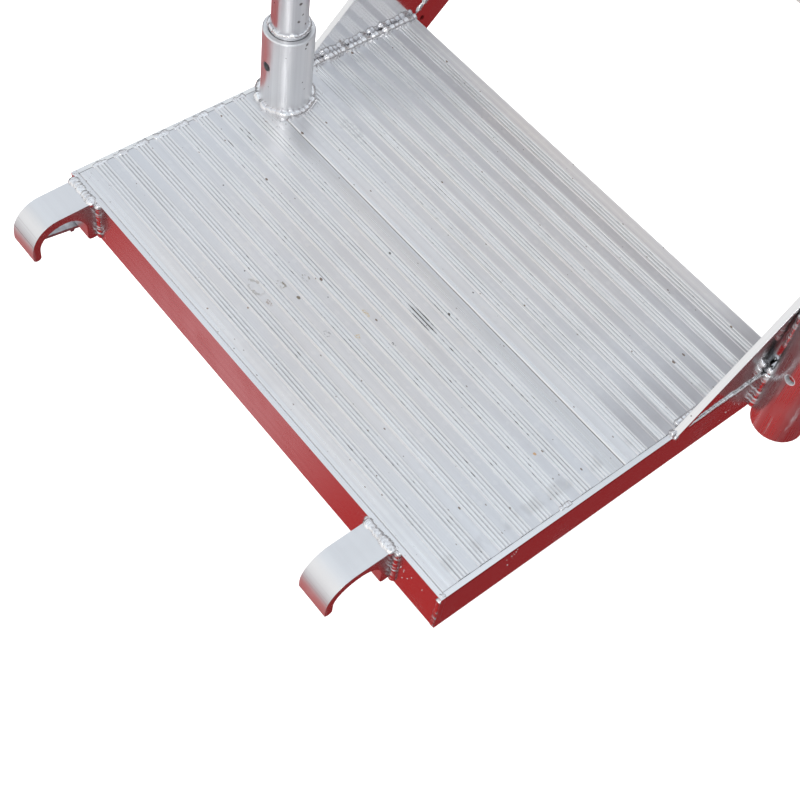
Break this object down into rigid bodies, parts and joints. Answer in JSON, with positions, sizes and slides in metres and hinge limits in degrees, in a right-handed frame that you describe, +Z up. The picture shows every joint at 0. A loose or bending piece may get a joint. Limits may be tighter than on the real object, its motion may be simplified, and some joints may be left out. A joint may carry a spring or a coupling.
{
  "type": "scaffold stair unit",
  "caption": "Aluminium hook-on scaffold stair: ribbed lower and upper landings, channel stringers with treads, plug-in guardrails, claw hooks over ledger tubes.",
  "frame": {"origin": "axis of the lower ledger tube under the lower hooks, half-way across the stair's width", "axes": "+Z up, +Y horizontally in the climbing direction, +X across the stair to the right as it is climbed, along the ledger tube and the ribs"},
  "size_m": [0.7043, 2.4454, 2.5976],
  "materials": {
    "mill_profile": "mill-finish extruded profile, fine lengthwise die lines",
    "ribbed_deck": "mill-finish ribbed extrusion with light stains and scuffs",
    "hook_extrusion": "mill-finish extrusion cut to length, sawn sides",
    "mill_tube": "mill-finish drawn tube",
    "zinc_steel": "zinc-plated steel, dull",
    "black_plug": "moulded end plug"
  },
  "bodies": {
    "stair_frame": {"lower_end_beam": "mill_profile", "lower_side_member_left": "mill_profile", "lower_side_member_right": "mill_profile", "lower_plank_outer": "ribbed_deck", "lower_plank_inner": "ribbed_deck", "lower_hook_left": "hook_extrusion", "lower_hook_right": "hook_extrusion", "lower_latch_bolt": "zinc_steel", "lower_latch_nut": "zinc_steel", "lower_latch_washer": "zinc_steel", "lower_deck_socket": "mill_tube", "lower_side_socket": "mill_tube", "lower_side_socket_stop": "mill_tube", "upper_end_beam": "mill_profile", "upper_side_member_left": "mill_profile", "upper_side_member_right": "mill_profile", "upper_plank_outer": "ribbed_deck", "upper_plank_inner": "ribbed_deck", "upper_hook_left": "hook_extrusion", "upper_hook_right": "hook_extrusion", "upper_latch_bolt": "zinc_steel", "upper_latch_nut": "zinc_steel", "upper_latch_washer": "zinc_steel", "upper_deck_socket": "mill_tube", "upper_side_socket": "mill_tube", "upper_side_socket_stop": "mill_tube", "stringer_left": "mill_profile", "stringer_right": "mill_profile", "lower_chord_left": "mill_profile", "lower_chord_right": "mill_profile", "tread_1": "ribbed_deck", "tread_2": "ribbed_deck", "tread_3": "ribbed_deck", "tread_4": "ribbed_deck", "tread_5": "ribbed_deck"},
    "lower_latch_bar": {"lower_latch": "hook_extrusion"},
    "upper_latch_bar": {"upper_latch": "hook_extrusion"},
    "left_guardrail": {"left_guardrail_insert_lower": "mill_tube", "left_guardrail_insert_upper": "mill_tube", "left_guardrail_post_lower": "mill_tube", "left_guardrail_post_upper": "mill_tube", "left_guardrail_top_rail": "mill_tube", "left_guardrail_mid_rail": "mill_tube", "left_guardrail_strut_1": "mill_tube", "left_guardrail_strut_2": "mill_tube"},
    "right_guardrail": {"right_guardrail_insert_lower": "mill_tube", "right_guardrail_insert_upper": "mill_tube", "right_guardrail_post_lower": "mill_tube", "right_guardrail_post_upper": "mill_tube", "right_guardrail_top_rail": "mill_tube", "right_guardrail_mid_rail": "mill_tube", "right_guardrail_strut_1": "mill_tube", "right_guardrail_strut_2": "mill_tube", "right_guardrail_plug_lower": "black_plug", "right_guardrail_plug_upper": "black_plug"}
  },
  "joints": [
    {"name": "left_guardrail_lift", "type": "slide", "parent": "stair_frame", "child": "left_guardrail", "axis": [0, 0, 1], "range_m": [0, 0.11]},
    {"name": "right_guardrail_lift", "type": "slide", "parent": "stair_frame", "child": "right_guardrail", "axis": [0, 0, 1], "range_m": [0, 0.11]},
    {"name": "lower_latch_swing", "type": "hinge", "parent": "stair_frame", "child": "lower_latch_bar", "pos_m": [-0.303, 0.0566, -0.02535], "axis": [0, 0, 1], "range_deg": [0, 90]},
    {"name": "upper_latch_swing", "type": "hinge", "parent": "stair_frame", "child": "upper_latch_bar", "pos_m": [-0.303, 2.30397, 1.47465], "axis": [0, 0, -1], "range_deg": [0, 90]}
  ]
}
